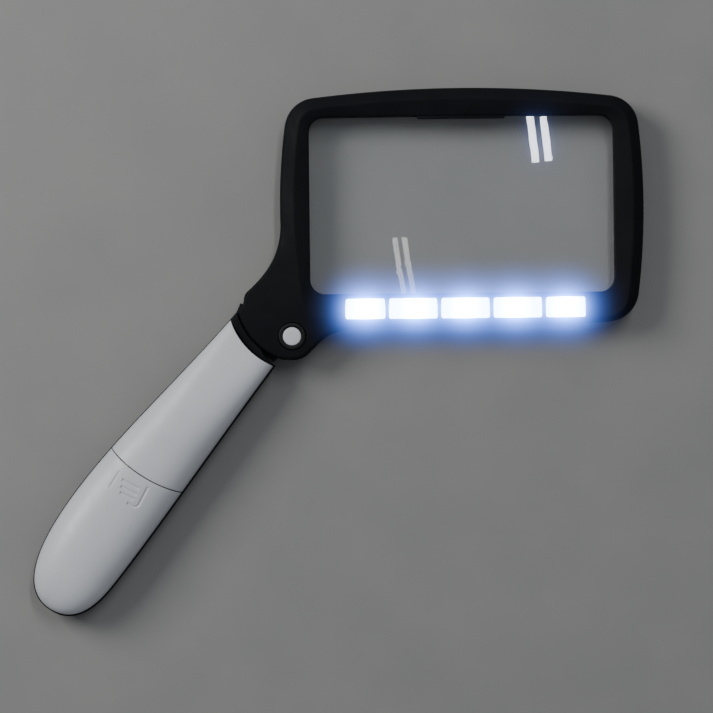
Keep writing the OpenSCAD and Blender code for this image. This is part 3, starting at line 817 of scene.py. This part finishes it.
def lifted(grid):
    """The grid with every point kept above the parting line."""
    return [[(u, v, max(z, SPLIT + SPLIT_GAP)) for u, v, z in row] for row in grid]


def pale_shell(start, ends, steps, to_end):
    """A wall of the pale shells from a curve to an outer and an inner end."""
    outer, inner = [lifted(handle_grid(start, end, steps, True, inset, to_end))
                    for end, inset in zip(ends, (0, WALL))]
    return shell_mesh(outer, inner)


top_shell = pale_shell(neck_line(NECK_R + 0.05), (seam_line(0), seam_line(0)), 46, False)
upper = mesh_object("handle_top", *top_shell, "handle", "pale_plastic", ["handle_upper_shell"])
bevel(upper, 0.22, angle=50)

cover_shell = pale_shell(seam_line(SEAM_GAP), (end_line(STEP_END), end_line(STEP_END + WALL)), 60, True)
cover = mesh_object("battery_door", *cover_shell, "cover", "pale_plastic", ["battery_cover"])
bevel(cover, 0.22, angle=50)

lower_out = handle_grid(neck_line(22.4), end_line(0), 90, False, 0, True)
lower_in = handle_grid(neck_line(24.0), end_line(WALL), 90, False, WALL, True)
bowl = shell_mesh(lower_out, lower_in)

# Full-height collar round the neck of the lower shell, and the tongue that enters the head
COLLAR_TOP = 12.7


def collar_loop(r, inset):
    """One closed cross-section of the collar on the arc of radius r about the neck's centre."""
    found = []
    for upper_half in (True, False):
        for i in range(ACROSS):
            share = -1 + 2 * i / ACROSS if upper_half else 1 - 2 * i / ACROSS
            u = 8.0
            for _ in range(SETTLE):
                v, z = handle_shape(u, share, upper_half, inset)
                u = arc_u(NECK, r, v)
            found.append((u, v, min(z, COLLAR_TOP - inset)))
    return found


def capped_rings(rings):
    """Points and faces of a solid through rings of row-frame points, closed at both ends."""
    n = len(rings[0])
    faces = ring_faces(len(rings), n, closed=False)
    faces += [tuple(range(n - 1, -1, -1)), tuple(range((len(rings) - 1) * n, len(rings) * n))]
    return [p for ring in rings for p in ring], faces


def collar_mesh():
    sections = [(22.1, 0.25), (22.2, 0.08), (22.4, 0.0), (23.4, 0.0), (24.4, 0.0), (24.58, 0.08),
                (24.65, 0.25)]
    return capped_rings([[handle_point(*p) for p in collar_loop(r, inset)] for r, inset in sections])


HANDLE_SCREWS = [(20, -4.2), (20, -14), (49, -8.7)]
SWITCH_U = 35.5
MID_V = -8.7
# The hub turns inside this radius of the pivot
HUB_CLEAR_R = 11
TONGUE_LOW = 3.6
TONGUE_HIGH = 9.6
TONGUE_R = 7.2


def hub_clearance():
    return in_handle(circle_outline(0, 0, HUB_CLEAR_R, FINE_STEPS), -1, 20)


lower = mesh_object("handle_base", *bowl, "handle", "black_plastic", ["handle_lower_shell"])
switch_slot = box_outline(SWITCH_U - 3.3, SWITCH_U + 7.3, MID_V - 2.15, MID_V + 2.15, 0.5)
switch_recess = box_outline(SWITCH_U - 6, SWITCH_U + 10, MID_V - 4.2, MID_V + 4.2, 1.5)
base_cuts = [in_handle(switch_slot, -1, 4), in_handle(switch_recess, -1, 0.9)]
base_cuts += [in_handle(circle_outline(u, v, SCREW_SINK_R, SCREW_STEPS), -1, 1.2)
              for u, v in HANDLE_SCREWS]
cut_away(lower, base_cuts + [hub_clearance()])

collar = mesh_object("handle_collar", *collar_mesh(), "handle", "black_plastic")
cut_away(collar, [hub_clearance()])
tongue_plan = [(-6.36, -3.38), (2.4, -19.9), (6.8, -18.6), (8.2, -17), (10.3, 0.3), (0, 1.6)]
tongue_plate = in_handle(tongue_plan, TONGUE_LOW, TONGUE_HIGH)
tongue_disc = prism(circle_outline(0, 0, TONGUE_R, FINE_STEPS), TONGUE_LOW, TONGUE_HIGH, handle_point)
tongue = mesh_object("handle_tongue", *tongue_disc, "handle", "black_plastic")
union = tongue.modifiers.new("join", "BOOLEAN")
union.operation = "UNION"
union.solver = "EXACT"
union.object = tongue_plate
apply_modifiers(tongue)
bpy.data.objects.remove(tongue_plate)
cut_away(tongue, [in_handle(circle_outline(0, 0, 3.02), 0, 14)])
bevel(tongue, 0.3)

# Pressed thumb mark by the seam: a left line, a right bracket and three short grooves between them
THUMB = (70.9, -9.4)
THUMB_TURN = math.radians(10)
GROOVE_STEPS = 16


def on_mark(a, b):
    """Place on the handle of the point a along and b across the thumb mark."""
    return (THUMB[0] + a * math.cos(THUMB_TURN) - b * math.sin(THUMB_TURN),
            THUMB[1] + a * math.sin(THUMB_TURN) + b * math.cos(THUMB_TURN))


def groove(path, r, depth):
    """A bent round bar that cuts a groove of even depth along a path on the mark."""
    plan = [on_mark(*p) for p in path]
    rings = []
    for i, (u, v) in enumerate(plan):
        before, after = plan[max(i - 1, 0)], plan[min(i + 1, len(plan) - 1)]
        side = Vector((before[1] - after[1], after[0] - before[0])).normalized()
        z = crown_height(u, v) - depth
        rings.append([handle_point(u + a * side.x, v + a * side.y, z + b)
                      for a, b in circle_outline(0, r, r, GROOVE_STEPS)])
    return loose_mesh(*capped_rings(rings))


def straight(a0, b0, a1, b1):
    """Nine points on a straight line, so that the groove follows the crown."""
    return [(a0 + (a1 - a0) * k / 8, b0 + (b1 - b0) * k / 8) for k in range(9)]


bracket = straight(-3.2, 5.3, 2.9, 5.5)
bracket += [(3.7, 5.4), (4.3, 5.0), (4.6, 4.4), (4.6, 3.6), (4.6, 2.8), (4.5, 1.8)]
middle_lines = ((-1.1, -3.3, -1.2, 3.1), (0.9, -2.6, 0.8, 3.3), (2.8, -1.8, 2.6, 3.2))
marks = [groove(bracket, 0.6, 0.3), groove(straight(-3.1, -5.4, 3.1, -5.6), 0.6, 0.24)]
marks += [groove(straight(*line), 0.7, 0.34) for line in middle_lines]
cut_away(cover, marks)
bevel(cover, 0.08, 2, 30)

# Cells with rounded ends, a nub and a seat round it, and the switch knob
CELL_R = 5.1
CELL_START = 55.8
CELL_END = 100.0
CELL_Z = 7.6
CELL_SIDES = (-13.3, -2.7)


def cell_mesh(v, way):
    """A cell turned about its axis, its nub pointing along the handle (1) or back (-1)."""
    length = CELL_END - CELL_START
    base = [(0, 0), (3.6, 0), (3.75, 0.1), (4.6, 0.12), (4.95, 0.22), (CELL_R, 0.5)]
    # Radius, and how far below the top of the nub
    nub_end = [(CELL_R, 1.6), (4.95, 1.25), (4.4, 1.12), (3.2, 1.15), (3.0, 1.0), (2.0, 0.98),
               (1.88, 0.85), (1.88, 0.15), (1.75, 0), (0, 0)]
    profile = base + [(r, length - below) for r, below in nub_end]
    points = []
    for i in range(ROUND_STEPS):
        a = 2 * math.pi * i / ROUND_STEPS
        for r, h in profile:
            u = CELL_START + h if way > 0 else CELL_END - h
            points.append(handle_point(u, v + r * math.cos(a), CELL_Z + r * math.sin(a)))
    n = len(profile)
    faces = []
    for i in range(ROUND_STEPS):
        a, b = i * n, ((i + 1) % ROUND_STEPS) * n
        faces += [(a + k, b + k, b + k + 1, a + k + 1) for k in range(n - 1)]
    return points, faces


both_cells = joined([cell_mesh(CELL_SIDES[0], -1), cell_mesh(CELL_SIDES[1], 1)])
mesh_object("cells", *both_cells, "handle", "cell_jacket", ["batteries"])

KNOB_LOW = 0.3
KNOB_HIGH = 3.0
KNOB_GRIPS = 5
knob_plan = box_outline(SWITCH_U - 3, SWITCH_U + 3, MID_V - 1.9, MID_V + 1.9, 0.6)
knob = mesh_object("switch_knob", *prism(knob_plan, KNOB_LOW, KNOB_HIGH, handle_point), "switch",
                   "black_plastic", ["switch_slider"])
grip_u = SWITCH_U - 2.2
grips = [in_handle(box_outline(grip_u + k, grip_u + k + 0.4, MID_V - 3, MID_V + 3), -1, 0.6)
         for k in range(KNOB_GRIPS)]
cut_away(knob, grips)
bevel(knob, 0.12, 2)


# ---- Materials ----
def new_material(name):
    made = bpy.data.materials.new(name)
    made.use_nodes = True
    return made, made.node_tree.nodes, made.node_tree.links, made.node_tree.nodes["Principled BSDF"]


def noise(nodes, links, scale, detail, rough=0.55, stretch=None):
    """A noise of the object's own coordinates; scale counts features per metre."""
    place = nodes.new("ShaderNodeTexCoord")
    made = nodes.new("ShaderNodeTexNoise")
    made.inputs["Scale"].default_value = scale
    made.inputs["Detail"].default_value = detail
    made.inputs["Roughness"].default_value = rough
    if stretch:
        mapping = nodes.new("ShaderNodeMapping")
        mapping.inputs["Scale"].default_value = stretch
        links.new(place.outputs["Object"], mapping.inputs["Vector"])
        links.new(mapping.outputs["Vector"], made.inputs["Vector"])
    else:
        links.new(place.outputs["Object"], made.inputs["Vector"])
    return made.outputs["Fac"]


# The middle of a noise, where most of its values lie
NOISE_LOW = 0.35
NOISE_HIGH = 0.65


def spread(nodes, links, value, low, high):
    """Maps the middle of a noise to a range."""
    made = nodes.new("ShaderNodeMapRange")
    made.inputs["From Min"].default_value = NOISE_LOW
    made.inputs["From Max"].default_value = NOISE_HIGH
    made.inputs["To Min"].default_value = low
    made.inputs["To Max"].default_value = high
    links.new(value, made.inputs["Value"])
    return made.outputs["Result"]


def two_tone(nodes, links, value, first, second):
    """Colours a noise between two colours."""
    made = nodes.new("ShaderNodeValToRGB")
    made.color_ramp.elements[0].position = NOISE_LOW
    made.color_ramp.elements[0].color = (*first, 1)
    made.color_ramp.elements[1].position = NOISE_HIGH
    made.color_ramp.elements[1].color = (*second, 1)
    links.new(value, made.inputs["Fac"])
    return made.outputs["Color"]


def relief(nodes, links, bsdf, layers):
    """Chains bumps; each layer is a height, a strength and a depth in millimetres."""
    normal = None
    for height, strength, depth in layers:
        made = nodes.new("ShaderNodeBump")
        made.inputs["Strength"].default_value = strength
        made.inputs["Distance"].default_value = depth * MM
        links.new(height, made.inputs["Height"])
        if normal:
            links.new(normal, made.inputs["Normal"])
        normal = made.outputs["Normal"]
    links.new(normal, bsdf.inputs["Normal"])


def moulded(name, first, second, rough, grain, grain_depth, gloss=0.5):
    """Moulded plastic: faint patches of tone, a fine cast grain and handling scuffs in the gloss."""
    made, nodes, links, bsdf = new_material(name)
    tone = two_tone(nodes, links, noise(nodes, links, 55, 5), first, second)
    links.new(tone, bsdf.inputs["Base Color"])
    scuffs = noise(nodes, links, 260, 9, 0.7, (1, 0.35, 1))
    links.new(spread(nodes, links, scuffs, rough - 0.06, rough + 0.08), bsdf.inputs["Roughness"])
    relief(nodes, links, bsdf, [(noise(nodes, links, grain, 4, 0.6), 0.5, grain_depth),
                                (noise(nodes, links, 90, 2), 0.25, 0.02)])
    bsdf.inputs["Specular IOR Level"].default_value = gloss
    return made


def metal(name, first, second, rough, turned=False):
    """Plated metal with fine tool marks."""
    made, nodes, links, bsdf = new_material(name)
    marks = noise(nodes, links, 1500, 6, 0.6, (1, 1, 12) if turned else (1, 9, 1))
    tone = two_tone(nodes, links, noise(nodes, links, 300, 6), first, second)
    links.new(tone, bsdf.inputs["Base Color"])
    links.new(spread(nodes, links, marks, rough - 0.07, rough + 0.1), bsdf.inputs["Roughness"])
    relief(nodes, links, bsdf, [(marks, 0.3, 0.01)])
    bsdf.inputs["Metallic"].default_value = 1
    return made


def acrylic():
    """Clear acrylic that lets the lamps light what lies under it."""
    made, nodes, links, bsdf = new_material("clear_acrylic")
    bsdf.inputs["Base Color"].default_value = (0.97, 0.985, 0.99, 1)
    bsdf.inputs["Transmission Weight"].default_value = 1
    bsdf.inputs["IOR"].default_value = 1.49
    smears = noise(nodes, links, 24, 6, 0.6)
    links.new(spread(nodes, links, smears, 0.0, 0.02), bsdf.inputs["Roughness"])
    clear = nodes.new("ShaderNodeBsdfTransparent")
    clear.inputs["Color"].default_value = (0.95, 0.96, 0.97, 1)
    path = nodes.new("ShaderNodeLightPath")
    scattered = nodes.new("ShaderNodeMath")
    scattered.operation = "MAXIMUM"
    links.new(path.outputs["Is Shadow Ray"], scattered.inputs[0])
    links.new(path.outputs["Is Diffuse Ray"], scattered.inputs[1])
    mix = nodes.new("ShaderNodeMixShader")
    links.new(scattered.outputs["Value"], mix.inputs["Fac"])
    links.new(bsdf.outputs["BSDF"], mix.inputs[1])
    links.new(clear.outputs["BSDF"], mix.inputs[2])
    links.new(mix.outputs["Shader"], nodes["Material Output"].inputs["Surface"])
    return made


# Spacing of the bright spots and their radius, and the strength in and between them
LED_PITCH = 16.2
SPOT_R = 5.5
GLOW_SPOT = 36.0
GLOW_BETWEEN = 9.0
row_way = (head_point(1, 0, 0) - head_point(0, 0, 0)).normalized()


def place_along(nodes, links, way):
    """How far a point of the object lies along a direction, in metres."""
    place = nodes.new("ShaderNodeTexCoord")
    along_way = nodes.new("ShaderNodeVectorMath")
    along_way.operation = "DOT_PRODUCT"
    along_way.inputs[1].default_value = way
    links.new(place.outputs["Object"], along_way.inputs[0])
    return along_way.outputs["Value"]


def glowing():
    """Milky plastic lit from behind, brightest over each light."""
    made, nodes, links, bsdf = new_material("lit_milky_plastic")
    tone = two_tone(nodes, links, noise(nodes, links, 120, 4), (0.9, 0.93, 0.97), (0.96, 0.98, 1.0))
    links.new(tone, bsdf.inputs["Base Color"])
    bsdf.inputs["Roughness"].default_value = 0.3
    bsdf.inputs["Emission Color"].default_value = (0.66, 0.84, 1.0, 1)
    offset = nodes.new("ShaderNodeMath")
    offset.operation = "SUBTRACT"
    offset.inputs[1].default_value = head_point(WINDOW_SHIFT, 0, 0).dot(row_way)
    links.new(place_along(nodes, links, row_way), offset.inputs[0])
    away = nodes.new("ShaderNodeMath")
    away.operation = "PINGPONG"
    away.inputs[1].default_value = LED_PITCH / 2 * MM
    links.new(offset.outputs["Value"], away.inputs[0])
    spot = nodes.new("ShaderNodeMapRange")
    spot.interpolation_type = "SMOOTHSTEP"
    spot.inputs["From Min"].default_value = 0.0
    spot.inputs["From Max"].default_value = SPOT_R * MM
    spot.inputs["To Min"].default_value = GLOW_SPOT
    spot.inputs["To Max"].default_value = GLOW_BETWEEN
    links.new(away.outputs["Value"], spot.inputs["Value"])
    links.new(spot.outputs["Result"], bsdf.inputs["Emission Strength"])
    relief(nodes, links, bsdf, [(noise(nodes, links, 900, 3), 0.15, 0.02)])
    return made


def wrapped_cell():
    """Foil of a cell: a dark sleeve between copper bands, with bare metal at both ends."""
    made, nodes, links, bsdf = new_material("cell_sleeve")
    start = handle_point(CELL_START, 0, 0).dot(along)
    band = nodes.new("ShaderNodeMapRange")
    band.inputs["From Min"].default_value = start
    band.inputs["From Max"].default_value = start + (CELL_END - CELL_START) * MM
    links.new(place_along(nodes, links, along), band.inputs["Value"])
    ramp = nodes.new("ShaderNodeValToRGB")
    ramp.color_ramp.interpolation = "CONSTANT"
    stops = [(0.0, (0.55, 0.56, 0.58)), (0.03, (0.42, 0.2, 0.08)), (0.28, (0.015, 0.017, 0.02)),
             (0.72, (0.42, 0.2, 0.08)), (0.97, (0.55, 0.56, 0.58))]
    ramp.color_ramp.elements[0].color = (*stops[0][1], 1)
    ramp.color_ramp.elements[1].position = stops[1][0]
    ramp.color_ramp.elements[1].color = (*stops[1][1], 1)
    for at, colour in stops[2:]:
        ramp.color_ramp.elements.new(at).color = (*colour, 1)
    links.new(band.outputs["Result"], ramp.inputs["Fac"])
    links.new(ramp.outputs["Color"], bsdf.inputs["Base Color"])
    links.new(spread(nodes, links, noise(nodes, links, 400, 6), 0.22, 0.36), bsdf.inputs["Roughness"])
    relief(nodes, links, bsdf, [(noise(nodes, links, 700, 3), 0.2, 0.01)])
    bsdf.inputs["Metallic"].default_value = 0.6
    return made


def circuit_board():
    """Green solder mask with fainter copper traces under it."""
    made, nodes, links, bsdf = new_material("board_green")
    place = nodes.new("ShaderNodeTexCoord")
    traces = nodes.new("ShaderNodeTexBrick")
    traces.inputs["Scale"].default_value = 320
    traces.inputs["Mortar Size"].default_value = 0.06
    traces.inputs["Color1"].default_value = (0.01, 0.09, 0.045, 1)
    traces.inputs["Color2"].default_value = (0.012, 0.1, 0.05, 1)
    traces.inputs["Mortar"].default_value = (0.03, 0.19, 0.08, 1)
    links.new(place.outputs["Object"], traces.inputs["Vector"])
    links.new(traces.outputs["Color"], bsdf.inputs["Base Color"])
    links.new(spread(nodes, links, noise(nodes, links, 300, 4), 0.25, 0.4), bsdf.inputs["Roughness"])
    relief(nodes, links, bsdf, [(traces.outputs["Fac"], 0.3, 0.03)])
    return made


finishes = {
    "black_plastic": moulded("black_satin_plastic", (0.0058, 0.0063, 0.0082), (0.008, 0.0086, 0.0108),
                             0.58, 3800, 0.02, 0.07),
    "pale_plastic": moulded("pale_grey_plastic", (0.58, 0.598, 0.643), (0.612, 0.631, 0.672), 0.4,
                            3000, 0.012),
    "lens_acrylic": acrylic(),
    "light_plastic": glowing(),
    "circuit_board": circuit_board(),
    "black_component": moulded("black_component", (0.02, 0.02, 0.021), (0.03, 0.03, 0.031), 0.5,
                               2500, 0.02),
    "silver_metal": metal("nickel_plate", (0.56, 0.55, 0.52), (0.64, 0.63, 0.6), 0.28),
    "pin_steel": metal("pin_steel", (0.5, 0.5, 0.51), (0.6, 0.6, 0.61), 0.3, True),
    "nut_metal": metal("blackened_nut", (0.02, 0.0205, 0.022), (0.026, 0.0265, 0.028), 0.5, True),
    "nylon": moulded("nylon", (0.62, 0.6, 0.53), (0.7, 0.68, 0.6), 0.45, 1500, 0.02),
    "cell_jacket": wrapped_cell(),
    "wire_sheath": moulded("red_wire", (0.3, 0.01, 0.008), (0.4, 0.014, 0.01), 0.35, 1800, 0.02),
}
node_slots = {part["node"]: part["material_slot"] for part in frame["record"]["subparts"]}
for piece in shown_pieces():
    kind = piece.get("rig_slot") or node_slots[piece["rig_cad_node"]]
    piece.data.materials.clear()
    piece.data.materials.append(finishes[kind])

# ---- Table and light, in metres and watts ----
TABLE_HALF = 2
table_corners = [(x, y, 0) for x, y in box_outline(-TABLE_HALF, TABLE_HALF, -TABLE_HALF, TABLE_HALF)]
table_mesh = bpy.data.meshes.new("table")
table_mesh.from_pydata(table_corners, [], [(0, 1, 2, 3)])
table = bpy.data.objects.new("table", table_mesh)
bpy.context.scene.collection.objects.link(table)
table_look, t_nodes, t_links, t_bsdf = new_material("table_laminate")
patches = noise(t_nodes, t_links, 30, 8)
t_links.new(two_tone(t_nodes, t_links, patches, (0.235, 0.235, 0.235), (0.255, 0.253, 0.25)),
            t_bsdf.inputs["Base Color"])
t_bsdf.inputs["Roughness"].default_value = 0.6
relief(t_nodes, t_links, t_bsdf, [(noise(t_nodes, t_links, 1800, 3), 0.15, 0.02)])
table.data.materials.append(table_look)


def lamp(name, place, target, size, size_y, watts, colour):
    """A flat light of its own width and height, turned to face a point; height runs up its local Y."""
    data = bpy.data.lights.new(name, "AREA")
    data.shape = "RECTANGLE"
    data.size, data.size_y = size, size_y
    data.energy = watts
    data.color = colour
    made = bpy.data.objects.new(name, data)
    made.location = place
    made.rotation_euler = (Vector(place) - Vector(target)).to_track_quat("Z", "Y").to_euler()
    bpy.context.scene.collection.objects.link(made)
    return made


def tube_lamp(name, low_end, high_end, width, watts):
    """A long straight lamp between two points overhead, facing down."""
    low_end, high_end = Vector(low_end), Vector(high_end)
    run = (high_end - low_end).normalized()
    back = Vector((0, 0, 1)) - run * run.z
    side = run.cross(back.normalized())
    turn = Matrix((side, run, side.cross(run))).transposed()
    length = (high_end - low_end).length
    made = lamp(name, (low_end + high_end) / 2, (0, 0, 0), width, length, watts, (1, 1, 1))
    made.rotation_euler = turn.to_euler()
    return made


KEY_SIZE = 0.42
KEY_WATTS = 6.4
lamp("key", (-0.66, 0.36, 0.62), (-0.06, 0, 0), KEY_SIZE, KEY_SIZE, KEY_WATTS, (1.0, 0.99, 0.96))
# Two tubes overhead, placed so that the lens mirrors them
TUBE_HEIGHT = 2.0
TUBE_LENGTH = 1.2
TUBE_WIDTH = 0.034
TUBE_WATTS = 6.2
TUBE_HALF_SPACING = 0.031
tube_foot = Vector((lens_mid.x + 0.223 * TUBE_HEIGHT, lens_mid.y + 0.168 * TUBE_HEIGHT, TUBE_HEIGHT))
tube_way = Vector((-0.09, 0.99, 0)).normalized()
for shift in (-TUBE_HALF_SPACING, TUBE_HALF_SPACING):
    foot = tube_foot + Vector((tube_way.y, -tube_way.x, 0)) * shift
    tube_lamp("tube", foot, foot + tube_way * TUBE_LENGTH, TUBE_WIDTH, TUBE_WATTS)

world = bpy.data.worlds.new("room")
world.use_nodes = True
world.node_tree.nodes["Background"].inputs["Color"].default_value = (0.55, 0.58, 0.62, 1)
world.node_tree.nodes["Background"].inputs["Strength"].default_value = 0.35
bpy.context.scene.world = world

# Soft glow of the camera round the lit windows
scene = bpy.context.scene
scene.use_nodes = True
passes = scene.node_tree
passes.nodes.clear()
picture = passes.nodes.new("CompositorNodeRLayers")
glow = passes.nodes.new("CompositorNodeGlare")
glow.glare_type = "BLOOM"
glow.quality = "HIGH"
glow.inputs["Threshold"].default_value = 1.6
glow.inputs["Strength"].default_value = 1.7
glow.inputs["Size"].default_value = 0.07
glow.inputs["Tint"].default_value = (0.17, 0.3, 1.0, 1)
result = passes.nodes.new("CompositorNodeComposite")
passes.links.new(picture.outputs["Image"], glow.inputs["Image"])
passes.links.new(glow.outputs["Image"], result.inputs["Image"])
